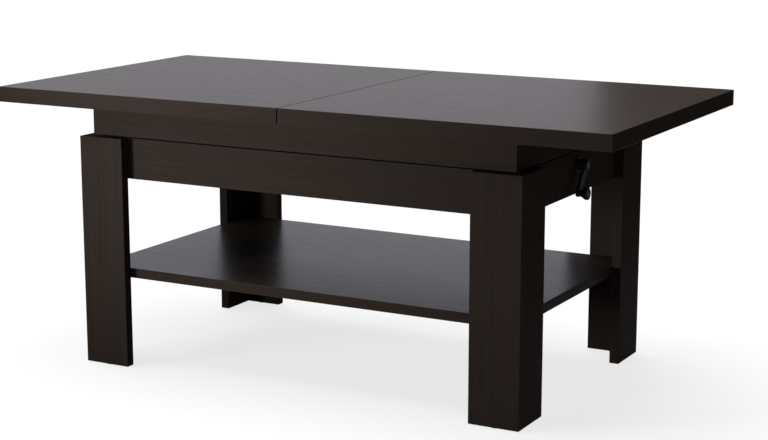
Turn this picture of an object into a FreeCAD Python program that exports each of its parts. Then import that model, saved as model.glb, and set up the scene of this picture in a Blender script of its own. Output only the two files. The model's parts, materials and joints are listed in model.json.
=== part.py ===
import FreeCAD, Part
import math
import os
import re

import Sketcher

# A coffee table that becomes a dining table. A crank on the right-hand end turns a spindle, which
# closes a scissor lift and raises the upper box. The top's two halves then slide apart on runners,
# and the leaf that is stored in the upper box fills the gap between them.
# The frame: +X to the right along the length, -Y to the front, +Z up, origin on the floor at the centre.

# Driving dimensions in millimetres, and degrees where the name says angle.
SIZES = {
    "top_length": 1200,
    "top_width": 600,
    "top_board": 28,
    "seam_gap": 1.4,
    "seam_rebate": 4,
    "base_length": 878,
    "base_width": 542,
    "leg_board": 18,
    "leg_width": 92,
    "leg_depth": 94,
    "leg_height": 425,
    "shelf_height": 185,
    "shelf_board": 18,
    "apron_board": 16,
    "lower_apron_height": 74,
    "upper_apron_height": 53,
    "lift_gap": 2,
    "strip_thick": 3,
    "board_round": 0.8,
    "slip": 0.3,
    "run_clear": 0.1,
    "hole_spare": 0.5,
    "glide_height": 1.5,
    "glide_radius": 7,
    "glide_pin_radius": 1.5,
    "glide_pin_length": 12,
    "leg_screw_radius": 2.5,
    "leg_screw_length": 30,
    "leg_screw_inset": 14,
    "leg_screw_edge": 16,
    "screw_radius": 2,
    "screw_length": 14,
    "screw_head_radius": 3.5,
    "screw_head_height": 1.4,
    "dowel_radius": 4,
    "dowel_length": 32,
    "dowel_seat": 20,
    "dowel_pitch": 200,
    "lift_height": 200,
    "arm_reach": 520,
    "arm_width": 30,
    "arm_thick": 4,
    "arm_gap": 1.5,
    "pin_radius": 5,
    "pin_head_radius": 8,
    "pin_head_height": 2,
    "pin_end_gap": 1,
    "shaft_radius": 9,
    "rail_height": 26,
    "rail_depth": 22,
    "rail_wall": 2,
    "rail_spare": 2,
    "rail_screw_pitch": 100,
    "low_pivot_rise": 21,
    "shoe_length": 36,
    "spindle_rise": 30,
    "spindle_radius": 6,
    "nut_length": 28,
    "nut_width": 32,
    "nut_wall": 5,
    "bearing_length": 22,
    "bearing_flange": 6,
    "bearing_radius": 14,
    "bearing_width": 64,
    "bearing_height": 32,
    "bearing_screw_out": 23,
    "collar_radius": 10,
    "collar_length": 8,
    "bush_radius": 9,
    "bush_flange_radius": 14,
    "bush_flange": 2.5,
    "tail_bar_width": 24,
    "tail_bar_thick": 4,
    "tail_plate_thick": 6,
    "tail_plate_width": 32,
    "tail_plate_wall": 8,
    "tail_gap": 4,
    "tail_bolt_length": 7,
    "crank_angle": 38,
    "crank_clear": 12.7,
    "crank_standoff": 14,
    "crank_bar_width": 13.5,
    "crank_bar_thick": 5,
    "crank_hub_radius": 10,
    "crank_hub_proud": 2,
    "knob_gap": 1,
    "knob_length": 16,
    "knob_root_radius": 5.8,
    "knob_end_radius": 11,
    "knob_neck": 1.5,
    "knob_rim": 3.5,
    "knob_round": 2,
    "knob_pin_radius": 3,
    "knob_pin_head_radius": 5,
    "knob_sink": 3,
    "slide_height": 20,
    "slide_wall": 1.6,
    "slide_slot": 10,
    "slide_stack_gap": 1,
    "slide_screw_pitch": 300,
    "slide_screw_rise": 5,
    "runner_inset": 10,
    "runner_length": 380,
    "runner_head_width": 15,
    "runner_head_height": 6,
    "runner_stem_width": 8,
    "runner_play": 0.6,
    "runner_screw_length": 24,
    "runner_screw_end": 30,
    "stop_length": 6,
    "stop_width": 10,
    "leaf_side_gap": 4,
    "bearer_width": 24,
    "bearer_thick": 4,
    "bearer_rise": 2,
    "bearer_tab": 8,
    "bearer_gap": 3,
    "bearer_lap": 30,
    "angle_leg": 32,
    "angle_tall": 11,
    "angle_wall": 2,
    "angle_edge": 3,
}

UP = FreeCAD.Vector(0, 0, 1)
LEFT_RIGHT = (("left", -1), ("right", 1))
FRONT_BACK = (("front", -1), ("back", 1))

# Places that several pieces share, written with the names in the sheet.
APRON_X = "(base_length / 2 - leg_board)"
APRON_Y = "(base_width / 2 - leg_board)"
INNER_X = f"({APRON_X} - apron_board)"
INNER_Y = f"({APRON_Y} - apron_board)"
LEG_TALL = "(leg_height - glide_height)"
LEG_MID_X = "(base_length / 2 - leg_width / 2)"
LEG_MID_Y = f"({APRON_Y} - (leg_depth - leg_board) / 2)"
SHELF_MID = "(shelf_height - shelf_board / 2)"
LOWER_BOTTOM = "(leg_height - lower_apron_height)"
UPPER_BOTTOM = "(leg_height + lift_gap)"
UPPER_TOP = f"({UPPER_BOTTOM} + upper_apron_height)"
TOP_UNDERSIDE = f"({UPPER_TOP} + slip)"
TOP_MID = f"({TOP_UNDERSIDE} + top_board / 2)"

# The lift: rails along the inner faces, the outer arms beside them and the inner arms beside those.
# The upper pair of rails hangs close below the rails that the top slides in.
RAIL_FACE = f"({INNER_Y} - rail_depth)"
RAIL_MID = f"({INNER_Y} - rail_depth / 2)"
SHOE_MID = f"({INNER_Y} - (rail_depth + rail_wall) / 2)"
OUTER_ARM_OUT = f"({RAIL_FACE} - arm_gap)"
OUTER_ARM_IN = f"({OUTER_ARM_OUT} - arm_thick)"
INNER_ARM_OUT = f"({OUTER_ARM_IN} - arm_gap)"
INNER_ARM_IN = f"({INNER_ARM_OUT} - arm_thick)"
PIN_TIP = f"({INNER_Y} - rail_wall - pin_end_gap)"
LOW_PIVOT = f"({LOWER_BOTTOM} + low_pivot_rise)"
SLIDE_BOTTOM = f"({UPPER_TOP} - slide_height)"
HIGH_PIVOT = f"({SLIDE_BOTTOM} - slide_stack_gap - rail_height / 2)"
MID_PIVOT = f"(({LOW_PIVOT} + {HIGH_PIVOT}) / 2)"
FOLDED = f"asin(({HIGH_PIVOT} - {LOW_PIVOT}) / arm_reach)"
RAISED = f"asin(({HIGH_PIVOT} - {LOW_PIVOT} + lift_height) / arm_reach)"
PIVOT_X = f"(arm_reach * cos({FOLDED}) / 2)"
RAISED_X = f"(arm_reach * cos({RAISED}) - {PIVOT_X})"
RAIL_HALF = f"({PIVOT_X} + shoe_length / 2 + rail_spare)"
SPINDLE_Z = f"({LOW_PIVOT} + spindle_rise)"
LOW_RAIL_BOTTOM = f"({LOW_PIVOT} - rail_height / 2)"
TAIL_BOTTOM = f"({LOW_RAIL_BOTTOM} - tail_bar_thick)"
TAIL_X = f"({RAISED_X} - nut_length / 2 - tail_gap - tail_bar_width / 2)"
CRANK_X = f"({APRON_X} + crank_standoff)"
CRANK_REACH = f"({TOP_UNDERSIDE} - {SPINDLE_Z} - knob_end_radius - crank_clear)"
KNOB_X = f"({CRANK_X} + crank_bar_thick + knob_gap)"
KNOB_Y = f"(-{CRANK_REACH} * sin(crank_angle * 1deg))"
KNOB_Z = f"({SPINDLE_Z} - {CRANK_REACH} * cos(crank_angle * 1deg))"

# The sliding top: rails that open upwards, T-shaped runners in them, and the leaf between the arms.
SLIDE_FLOOR = f"({SLIDE_BOTTOM} + slide_wall)"
RUNNER_TOP = f"({UPPER_TOP} - slide_wall - runner_play)"
RUNNER_BOTTOM = f"({RUNNER_TOP} - runner_head_height)"
RUNNER_CLEAR = f"({RUNNER_BOTTOM} - screw_head_height - runner_play)"
RUNNER_SCREWS = ("runner_screw_end", "runner_length / 2", "(runner_length - runner_screw_end)")
LEAF_HALF = f"({INNER_ARM_IN} - leaf_side_gap)"
STOP_X = f"(runner_inset + stop_length + {LEAF_HALF} + slip)"
BEARER_BOTTOM = f"({UPPER_BOTTOM} + bearer_rise)"
BEARER_TOP = f"({BEARER_BOTTOM} + bearer_thick)"
BEARER_NEAR = f"({RAIL_HALF} + bearer_gap)"
BEARER_FAR = f"({BEARER_NEAR} + bearer_width)"
ANGLE_BOTTOM = f"({SLIDE_BOTTOM} - angle_edge - angle_tall)"
ANGLE_MID = f"({ANGLE_BOTTOM} + angle_tall / 2)"

# The strips behind the gap stand above the leg screws' heads, below the upper rails and the bearers.
# Those at the ends also clear the spindle's bearing.
STRIP_BOTTOM = "(leg_height - leg_screw_edge + screw_head_radius + slip)"
END_STRIP_BOTTOM = f"max({STRIP_BOTTOM}; {SPINDLE_Z} + bearing_height / 2 + slip)"
STRIP_TOP = f"min({UPPER_BOTTOM} + bearer_rise / 2; {HIGH_PIVOT} - rail_height / 2 - slip)"

doc = FreeCAD.newDocument("convertible_table")
sheet = doc.addObject("Spreadsheet::Sheet", "Sizes")
for row, (name, size) in enumerate(SIZES.items(), start=1):
    sheet.set(f"A{row}", str(size))
    sheet.setAlias(f"A{row}", name)
doc.recompute()

nodes = {}


def bound(text):
    """The expression, with each driving dimension written as its cell in the sheet."""
    return re.sub(r"[a-z_]+", lambda word: f"Sizes.{word[0]}" if word[0] in SIZES else word[0], text)


def number(text):
    """What an expression comes to now, for the first drawing of a sketch."""
    return float(sheet.evalExpression(bound(text)))


def place(piece, x="0", y="0", z="0"):
    """Ties a piece's position to the sheet."""
    for axis, text in zip("xyz", (x, y, z)):
        piece.setExpression(f"Placement.Base.{axis}", bound(text))
    return piece


def turn(piece, rotation):
    """Turns a piece before its position is tied."""
    piece.Placement = FreeCAD.Placement(FreeCAD.Vector(), rotation)
    return piece


def aimed(x, y, z):
    """The rotation that points a piece's own Z along a direction."""
    return FreeCAD.Rotation(UP, FreeCAD.Vector(x, y, z))


def low_edge(side, near, far):
    """The lower coordinate of what lies between near and far from the centre, on one side of it."""
    return near if side > 0 else f"-({far})"


def node(label, piece):
    """Names a finished piece, which is written under that name."""
    piece.Label = label
    nodes[label] = piece
    return piece


def sketch_on(body, role):
    """A new sketch on one of the body's own origin planes."""
    plane = next(item for item in body.Origin.OriginFeatures if item.Role == role)
    sketch = body.newObject("Sketcher::SketchObject", f"{body.Name}_sketch")
    sketch.AttachmentSupport = [(plane, "")]
    sketch.MapMode = "FlatFace"
    return sketch


def hold(sketch, kind, target, text):
    """Adds one dimension to a sketch and ties it to the sheet."""
    if kind == "Radius":
        constraint = Sketcher.Constraint(kind, target[0], number(text))
    else:
        constraint = Sketcher.Constraint(kind, -1, 1, target[0], target[1], number(text))
    sketch.setExpression(f"Constraints[{sketch.addConstraint(constraint)}]", bound(text))


def outline(sketch, points):
    """A closed outline of straight runs, with both coordinates of every corner tied to the sheet."""
    corners = [FreeCAD.Vector(number(u), number(v), 0) for u, v in points]
    following = corners[1:] + corners[:1]
    for start, end in zip(corners, following):
        sketch.addGeometry(Part.LineSegment(start, end))
    for index in range(len(corners)):
        sketch.addConstraint(Sketcher.Constraint("Coincident", index, 2, (index + 1) % len(corners), 1))
    for index, (u, v) in enumerate(points):
        hold(sketch, "DistanceX", (index, 1), u)
        hold(sketch, "DistanceY", (index, 1), v)


def circle(sketch, across, radius):
    """A circle on the sketch's horizontal axis."""
    centre = FreeCAD.Vector(number(across), 0, 0)
    index = sketch.addGeometry(Part.Circle(centre, UP, number(radius)))
    sketch.addConstraint(Sketcher.Constraint("PointOnObject", index, 3, -1))
    hold(sketch, "DistanceX", (index, 3), across)
    hold(sketch, "Radius", (index,), radius)


def bar_outline(sketch, reach, width, holes):
    """A flat bar with round ends from the origin along the horizontal axis, and its holes."""
    long = number(reach)
    half = number(width) / 2
    near = Part.Circle(FreeCAD.Vector(0, 0, 0), UP, half)
    far = Part.Circle(FreeCAD.Vector(long, 0, 0), UP, half)
    quarter = math.pi / 2
    sketch.addGeometry(Part.LineSegment(FreeCAD.Vector(0, half, 0), FreeCAD.Vector(long, half, 0)))
    sketch.addGeometry(Part.ArcOfCircle(far, -quarter, quarter))
    sketch.addGeometry(Part.LineSegment(FreeCAD.Vector(long, -half, 0), FreeCAD.Vector(0, -half, 0)))
    sketch.addGeometry(Part.ArcOfCircle(near, quarter, 3 * quarter))
    for first, end, second, start in ((0, 2, 1, 2), (1, 1, 2, 1), (2, 2, 3, 2), (3, 1, 0, 1)):
        sketch.addConstraint(Sketcher.Constraint("Tangent", first, end, second, start))
    sketch.addConstraint(Sketcher.Constraint("Coincident", 3, 3, -1, 1))
    sketch.addConstraint(Sketcher.Constraint("PointOnObject", 1, 3, -1))
    sketch.addConstraint(Sketcher.Constraint("Equal", 1, 3))
    hold(sketch, "DistanceX", (1, 3), reach)
    hold(sketch, "Radius", (3,), f"({width}) / 2")
    for across, radius in holes:
        circle(sketch, across, radius)


def pad(body, sketch, length, backwards=False):
    """Gives a sketch its thickness."""
    solid = body.newObject("PartDesign::Pad", f"{body.Name}_pad")
    solid.Profile = sketch
    solid.Reversed = backwards
    solid.setExpression("Length", bound(length))
    doc.recompute()
    return solid


def soften(body, base, edges, radius):
    """Rounds the named edges, or every edge where none is named."""
    fillet = body.newObject("PartDesign::Fillet", f"{body.Name}_fillet")
    fillet.Base = (base, edges or [""])
    fillet.UseAllEdges = not edges
    fillet.setExpression("Radius", bound(radius))


def board(name, size, corner):
    """A board or block of a size along X, Y and Z from its lowest corner, with softened edges."""
    length, depth, height = size
    body = doc.addObject("PartDesign::Body", name)
    sketch = sketch_on(body, "XY_Plane")
    outline(sketch, [("0", "0"), (length, "0"), (length, depth), ("0", depth)])
    soften(body, pad(body, sketch, height), [], "board_round")
    return place(body, *corner)


def extrusion(name, section, length, start):
    """A section drawn in Y and Z, carried along X."""
    body = doc.addObject("PartDesign::Body", name)
    sketch = sketch_on(body, "YZ_Plane")
    outline(sketch, section)
    pad(body, sketch, length)
    return place(body, start)


def turned(name, profile):
    """A turned piece: its half profile of radius and height, spun about its own Z."""
    body = doc.addObject("PartDesign::Body", name)
    sketch = sketch_on(body, "XZ_Plane")
    outline(sketch, profile)
    spin = body.newObject("PartDesign::Revolution", f"{name}_spin")
    spin.Profile = sketch
    spin.ReferenceAxis = (sketch, ["V_Axis"])
    spin.Angle = 360
    doc.recompute()
    return body


def box(name, size, corner):
    """A plain block of a size along X, Y and Z from its lowest corner."""
    block = doc.addObject("Part::Box", name)
    for side, text in zip(("Length", "Width", "Height"), size):
        block.setExpression(side, bound(text))
    return place(block, *corner)


def rod(name, radius, length, rotation, start):
    """A plain round rod from its start along its own Z."""
    cylinder = doc.addObject("Part::Cylinder", name)
    cylinder.setExpression("Radius", bound(radius))
    cylinder.setExpression("Height", bound(length))
    return place(turn(cylinder, rotation), *start)


def fused(name, pieces):
    """One solid made of several that touch."""
    whole = doc.addObject("Part::MultiFuse", name)
    whole.Shapes = pieces
    whole.Refine = True
    return whole


def drilled(name, blank, drills):
    """A piece with its holes cut."""
    holes = doc.addObject("Part::Compound", f"{name}_holes")
    holes.Links = drills
    cut = doc.addObject("Part::Cut", name)
    cut.Base = blank
    cut.Tool = holes
    return cut


def copies(label, masters):
    """A node of separate solids: links to each master piece at its own stations."""
    links = []
    for master, stations in masters:
        for rotation, start in stations:
            link = doc.addObject("App::Link", f"{label}_copy")
            link.LinkedObject = master
            links.append(place(turn(link, rotation), *start))
    group = doc.addObject("Part::Compound", label)
    group.Links = links
    return node(label, group)


def screw(name, radius, length):
    """A pan-head screw, with its head below its own origin and its shank above."""
    head = [
        ("0", "-screw_head_height"), ("screw_head_radius", "-screw_head_height"), ("screw_head_radius", "0")]
    return turned(name, head + [(radius, "0"), (radius, f"{length} - {radius}"), ("0", length)])


def screw_drills(stations, radius, length):
    """The holes that a set of screws needs, a little wider and longer than their shanks."""
    bore = f"{radius} + run_clear"
    return [rod("drill", bore, f"{length} + hole_spare", rotation, start) for rotation, start in stations]


# The fastenings of the base: each corner has screws from inside the box into the leg's two boards,
# dowels from the shelf's edges into the same boards, and a glide under each board.
leg_screw_stations = {}
dowel_stations = {}
glide_stations = {}
for x_name, x_side in LEFT_RIGHT:
    for y_name, y_side in FRONT_BACK:
        corner = f"{y_name}_{x_name}"
        to_face = aimed(0, y_side, 0)
        to_side = aimed(x_side, 0, 0)
        face_x = f"{x_side} * (base_length / 2 - leg_width + leg_screw_inset)"
        side_y = f"{y_side} * (base_width / 2 - leg_depth + leg_screw_inset)"
        heights = (f"{LOWER_BOTTOM} + leg_screw_edge", "leg_height - leg_screw_edge")
        inner_face = f"{y_side} * {INNER_Y}"
        inner_end = f"{x_side} * {INNER_X}"
        leg_screw_stations[corner, "face"] = [(to_face, (face_x, inner_face, z)) for z in heights]
        leg_screw_stations[corner, "side"] = [(to_side, (inner_end, side_y, z)) for z in heights]
        shelf_face = f"{y_side} * ({APRON_Y} - dowel_seat)"
        shelf_side = f"{x_side} * ({APRON_X} - dowel_seat)"
        dowel_stations[corner, "face"] = (to_face, (f"{x_side} * {LEG_MID_X}", shelf_face, SHELF_MID))
        dowel_stations[corner, "side"] = (to_side, (shelf_side, f"{y_side} * {LEG_MID_Y}", SHELF_MID))
        face_glide = (f"{x_side} * {LEG_MID_X}", f"{y_side} * (base_width / 2 - leg_board / 2)", "0")
        side_glide = (f"{x_side} * (base_length / 2 - leg_board / 2)", f"{y_side} * {LEG_MID_Y}", "0")
        glide_stations[corner, "face"] = (aimed(0, 0, 1), face_glide)
        glide_stations[corner, "side"] = (aimed(0, 0, 1), side_glide)


def leg_drills(corner, part):
    """The holes in one board of a leg and in what is fastened to it."""
    pin_hole = "glide_pin_radius + run_clear"
    rotation, (x, y, z) = glide_stations[corner, part]
    pin = rod("drill", pin_hole, "glide_height + glide_pin_length + hole_spare", rotation, (x, y, z))
    return screw_drills(leg_screw_stations[corner, part], "leg_screw_radius", "leg_screw_length") + [
        *screw_drills([dowel_stations[corner, part]], "dowel_radius", "dowel_length"), pin]


drills = {key: leg_drills(*key) for key in leg_screw_stations}

# Legs: the face board shows its full width on the long side, and the side board stands behind it.
for x_name, x_side in LEFT_RIGHT:
    for y_name, y_side in FRONT_BACK:
        corner = f"{y_name}_{x_name}"
        face_corner = (
            low_edge(x_side, "base_length / 2 - leg_width", "base_length / 2"),
            low_edge(y_side, APRON_Y, "base_width / 2"),
            "glide_height",
        )
        face = board(f"{corner}_face_blank", ("leg_width", "leg_board", LEG_TALL), face_corner)
        side_corner = (
            low_edge(x_side, APRON_X, "base_length / 2"),
            low_edge(y_side, "base_width / 2 - leg_depth", APRON_Y),
            "glide_height",
        )
        side = board(f"{corner}_side_blank", ("leg_board", "leg_depth - leg_board", LEG_TALL), side_corner)
        for part, blank in (("face", face), ("side", side)):
            label = f"leg_{corner}_{part}"
            node(label, drilled(label, blank, drills[corner, part]))

shelf_blank = board(
    "shelf_blank",
    (f"2 * {APRON_X}", f"2 * {APRON_Y}", "shelf_board"),
    (f"-{APRON_X}", f"-{APRON_Y}", "shelf_height - shelf_board"),
)
shelf_drills = [hole for group in drills.values() for hole in group]
node("shelf", drilled("shelf", shelf_blank, shelf_drills))

leg_screw = screw("leg_screw", "leg_screw_radius", "leg_screw_length")
rail_screw = screw("rail_screw", "screw_radius", "screw_length")
runner_screw = screw("runner_screw", "screw_radius", "runner_screw_length")
tail_bolt = screw("tail_bolt", "screw_radius", "tail_bolt_length")
dowel = turned("dowel", [
    ("0", "0"), ("dowel_radius", "0"), ("dowel_radius", "dowel_length"), ("0", "dowel_length")])
glide = turned("glide", [
    ("0", "0"),
    ("glide_radius - board_round", "0"),
    ("glide_radius", "board_round"),
    ("glide_radius", "glide_height"),
    ("glide_pin_radius", "glide_height"),
    ("glide_pin_radius", "glide_height + glide_pin_length"),
    ("0", "glide_height + glide_pin_length"),
])
copies("leg_screws", [(leg_screw, [item for group in leg_screw_stations.values() for item in group])])
copies("shelf_dowels", [(dowel, list(dowel_stations.values()))])
copies("foot_glides", [(glide, list(glide_stations.values()))])

# Stations of the short screws that hold the rails, the bearing, the bearers and the corner angles.
RAIL_SCREW_X = ("-rail_screw_pitch", "0", "rail_screw_pitch")
SLIDE_SCREW_X = ("-slide_screw_pitch", "0", "slide_screw_pitch")


def wall_screws(side, wall, xs, z):
    """Screws through a metal wall into the apron board on one long side."""
    return [(aimed(0, side, 0), (x, f"{side} * ({INNER_Y} - {wall})", z)) for x in xs]


rail_stations = {}
slide_stations = {}
tab_stations = {}
angle_stations = {}
for name, side in FRONT_BACK:
    rail_stations["lower", name] = wall_screws(side, "rail_wall", RAIL_SCREW_X, LOW_PIVOT)
    rail_stations["upper", name] = wall_screws(side, "rail_wall", RAIL_SCREW_X, HIGH_PIVOT)
    slide_z = f"{SLIDE_FLOOR} + slide_screw_rise"
    slide_stations[name] = wall_screws(side, "slide_wall", SLIDE_SCREW_X, slide_z)
    tab_x = [f"{end} * ({BEARER_NEAR} + bearer_width / 2)" for end in (-1, 1)]
    tab_stations[name] = wall_screws(side, "bearer_thick", tab_x, f"{BEARER_TOP} + bearer_tab / 2")
    angle_x = [f"{end} * ({INNER_X} - angle_leg / 2)" for end in (-1, 1)]
    angle_stations[name] = wall_screws(side, "angle_wall", angle_x, ANGLE_MID)
for name, end in LEFT_RIGHT:
    angle_x = f"{end} * ({INNER_X} - angle_wall)"
    angle_stations[name] = [
        (aimed(end, 0, 0), (angle_x, f"{side} * ({INNER_Y} - angle_leg / 2)", ANGLE_MID)) for side in (-1, 1)]
bearing_stations = [
    (aimed(1, 0, 0), (f"{INNER_X} - bearing_flange", f"{side} * bearing_screw_out", SPINDLE_Z))
    for side in (-1, 1)]
tail_stations = [(aimed(0, 0, 1), (TAIL_X, f"{side} * {RAIL_MID}", TAIL_BOTTOM)) for side in (-1, 1)]


def short_drills(stations):
    """Holes for the short screws."""
    return screw_drills(stations, "screw_radius", "screw_length")


tail_drills = screw_drills(tail_stations, "screw_radius", "tail_bolt_length")
spindle_drill = rod(
    "drill", "bush_radius + run_clear", "apron_board + 2 * hole_spare", aimed(1, 0, 0),
    (f"{INNER_X} - hole_spare", "0", SPINDLE_Z))

# Lower box: the long boards run the full length, and the end boards stand between them.
for name, side in FRONT_BACK:
    label = f"lower_apron_{name}"
    corner = (f"-{APRON_X}", low_edge(side, INNER_Y, APRON_Y), LOWER_BOTTOM)
    blank = board(f"{label}_blank", (f"2 * {APRON_X}", "apron_board", "lower_apron_height"), corner)
    holes = drills[f"{name}_left", "face"] + drills[f"{name}_right", "face"]
    node(label, drilled(label, blank, holes + short_drills(rail_stations["lower", name])))
for name, end in LEFT_RIGHT:
    label = f"lower_apron_{name}"
    corner = (low_edge(end, INNER_X, APRON_X), f"-{INNER_Y}", LOWER_BOTTOM)
    blank = board(f"{label}_blank", ("apron_board", f"2 * {INNER_Y}", "lower_apron_height"), corner)
    holes = drills[f"front_{name}", "side"] + drills[f"back_{name}", "side"]
    if name == "right":
        holes = holes + short_drills(bearing_stations) + [spindle_drill]
    node(label, drilled(label, blank, holes))
long_strip = box("long_strip", (f"2 * {INNER_X}", "strip_thick", f"{STRIP_TOP} - {STRIP_BOTTOM}"), (
    "0", "0", "0"))
end_strip_size = ("strip_thick", f"2 * ({INNER_Y} - strip_thick)", f"{STRIP_TOP} - {END_STRIP_BOTTOM}")
end_strip = box("end_strip", end_strip_size, ("0", "0", "0"))
long_strip_stations = [
    (aimed(0, 0, 1), (f"-{INNER_X}", low_edge(side, f"{INNER_Y} - strip_thick", INNER_Y), STRIP_BOTTOM))
    for side in (-1, 1)]
end_strip_stations = [
    (aimed(0, 0, 1), (
        low_edge(end, f"{INNER_X} - strip_thick", INNER_X), f"strip_thick - {INNER_Y}", END_STRIP_BOTTOM))
    for end in (-1, 1)]
copies("gap_strips", [(long_strip, long_strip_stations), (end_strip, end_strip_stations)])


def rail_section(side, z):
    """A C channel on the inner face of a long apron board, open towards the middle of the table."""
    top = f"{z} + rail_height / 2"
    bottom = f"{z} - rail_height / 2"
    web = f"{side} * ({INNER_Y} - rail_wall)"
    outside = f"{side} * {INNER_Y}"
    mouth = f"{side} * {RAIL_FACE}"
    return [
        (outside, bottom), (mouth, bottom), (mouth, f"{bottom} + rail_wall"), (web, f"{bottom} + rail_wall"),
        (web, f"{top} - rail_wall"), (mouth, f"{top} - rail_wall"), (mouth, top), (outside, top)]


for level, z in (("lower", LOW_PIVOT), ("upper", HIGH_PIVOT)):
    for name, side in FRONT_BACK:
        label = f"{level}_lift_rail_{name}"
        blank = extrusion(f"{label}_blank", rail_section(side, z), f"2 * {RAIL_HALF}", f"-{RAIL_HALF}")
        holes = short_drills(rail_stations[level, name])
        if level == "lower":
            holes = holes + tail_drills
        node(label, drilled(label, blank, holes))


def rail_block(name, gap):
    """A block that fits a lift rail with a gap all round, bored for a pin, centred on the bore."""
    depth = f"(rail_depth - rail_wall - 2 * {gap})"
    height = f"(rail_height - 2 * rail_wall - 2 * {gap})"
    corner = ("-shoe_length / 2", f"-{depth} / 2", f"-{height} / 2")
    blank = box(f"{name}_blank", ("shoe_length", depth, height), corner)
    bore = rod("drill", "pin_radius + run_clear", "2 * rail_depth", aimed(0, 1, 0), ("0", "-rail_depth", "0"))
    return drilled(name, blank, [bore])


pivot_block = rail_block("pivot_block", "0")
shoe = rail_block("shoe", "slip")
BLOCKS = (
    ("lower_pivot_blocks", pivot_block, f"-{PIVOT_X}", LOW_PIVOT),
    ("upper_pivot_blocks", pivot_block, f"-{PIVOT_X}", HIGH_PIVOT),
    ("lower_shoes", shoe, PIVOT_X, LOW_PIVOT),
    ("upper_shoes", shoe, PIVOT_X, HIGH_PIVOT),
)
for label, master, x, z in BLOCKS:
    copies(label, [(master, [(aimed(0, 0, 1), (x, f"{side} * {SHOE_MID}", z)) for side in (-1, 1)])])


# Scissor arms: the outer pair rises to the right from the fixed shaft, the inner pair falls to the right.
def scissor_arm(label, near, far, side, rises):
    """A flat bar bored at both ends and at the middle, turned to the folded angle about its left pivot."""
    body = doc.addObject("PartDesign::Body", label)
    sketch = sketch_on(body, "XZ_Plane")
    bore = "pin_radius + run_clear"
    bar_outline(sketch, "arm_reach", "arm_width", [("0", bore), ("arm_reach / 2", bore), ("arm_reach", bore)])
    pad(body, sketch, "arm_thick")
    turn(body, FreeCAD.Rotation(FreeCAD.Vector(0, -1 if rises else 1, 0), 1))
    body.setExpression("Placement.Rotation.Angle", bound(FOLDED))
    place(body, f"-{PIVOT_X}", far if side > 0 else f"-{near}", LOW_PIVOT if rises else HIGH_PIVOT)
    return node(label, body)


for name, side in FRONT_BACK:
    scissor_arm(f"outer_arm_{name}", OUTER_ARM_IN, OUTER_ARM_OUT, side, True)
    scissor_arm(f"inner_arm_{name}", INNER_ARM_IN, INNER_ARM_OUT, side, False)


def cross_shaft(label, shoulder, x):
    """A shaft across the table, shouldered at the arms, with its journals in the lower rails' blocks."""
    profile = [
        ("0", f"-{PIN_TIP}"), ("pin_radius", f"-{PIN_TIP}"), ("pin_radius", f"-{shoulder}"),
        ("shaft_radius", f"-{shoulder}"), ("shaft_radius", shoulder), ("pin_radius", shoulder),
        ("pin_radius", PIN_TIP), ("0", PIN_TIP)]
    shaft = turn(turned(label, profile), aimed(0, 1, 0))
    return node(label, place(shaft, x, "0", LOW_PIVOT))


cross_shaft("fixed_shaft", OUTER_ARM_IN, f"-{PIVOT_X}")
cross_shaft("drive_shaft", INNER_ARM_IN, PIVOT_X)


def headed_pin(name, inner, outer):
    """A pin with a head against an arm's inner face, measured outwards from the table's middle."""
    return turned(name, [
        ("0", f"{inner} - pin_head_height"), ("pin_head_radius", f"{inner} - pin_head_height"),
        ("pin_head_radius", inner), ("pin_radius", inner), ("pin_radius", outer), ("0", outer)])


CENTRE_HEAD = f"({INNER_ARM_IN} - slip)"
centre_pin = turned("centre_pin", [
    ("0", f"{CENTRE_HEAD} - pin_head_height"), ("pin_head_radius", f"{CENTRE_HEAD} - pin_head_height"),
    ("pin_head_radius", CENTRE_HEAD), ("pin_radius", CENTRE_HEAD), ("pin_radius", OUTER_ARM_OUT),
    ("pin_head_radius", OUTER_ARM_OUT), ("pin_head_radius", f"{OUTER_ARM_OUT} + pin_head_height"),
    ("0", f"{OUTER_ARM_OUT} + pin_head_height")])
shoe_pin = headed_pin("shoe_pin", OUTER_ARM_IN, PIN_TIP)
frame_pin = headed_pin("frame_pin", INNER_ARM_IN, PIN_TIP)
both_sides = [aimed(0, side, 0) for side in (-1, 1)]
copies("outer_arm_pins", [
    (centre_pin, [(rotation, ("0", "0", MID_PIVOT)) for rotation in both_sides]),
    (shoe_pin, [(rotation, (PIVOT_X, "0", HIGH_PIVOT)) for rotation in both_sides])])
copies("upper_pivot_pins", [
    (frame_pin, [(rotation, (f"-{PIVOT_X}", "0", HIGH_PIVOT)) for rotation in both_sides])])

# The drive: a nut on the drive shaft, the spindle with its collar, bearing, bush and tail bar, and the crank.
nut_low = "(shaft_radius + nut_wall)"
nut_size = ("nut_length", "nut_width", f"{nut_low} + spindle_rise + spindle_radius + nut_wall")
nut_blank = box("nut_blank", nut_size, (
    f"{PIVOT_X} - nut_length / 2", "-nut_width / 2", f"{LOW_PIVOT} - {nut_low}"))
nut_bores = [
    rod("drill", "shaft_radius + run_clear", "2 * nut_width", aimed(0, 1, 0), (
        PIVOT_X, "-nut_width", LOW_PIVOT)),
    rod("drill", "spindle_radius + run_clear", "2 * nut_length", aimed(1, 0, 0), (
        f"{PIVOT_X} - nut_length", "0", SPINDLE_Z))]
node("drive_nut", drilled("drive_nut", nut_blank, nut_bores))

SPINDLE_START = f"({TAIL_X} - tail_plate_thick)"
SPINDLE_LONG = f"({CRANK_X} + crank_bar_thick + crank_hub_proud - {SPINDLE_START})"
spindle = turned("spindle", [
    ("0", "0"), ("spindle_radius - board_round", "0"), ("spindle_radius", "board_round"),
    ("spindle_radius", f"{SPINDLE_LONG} - board_round"), ("spindle_radius - board_round", SPINDLE_LONG),
    ("0", SPINDLE_LONG)])
node("spindle", place(turn(spindle, aimed(1, 0, 0)), SPINDLE_START, "0", SPINDLE_Z))


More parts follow.
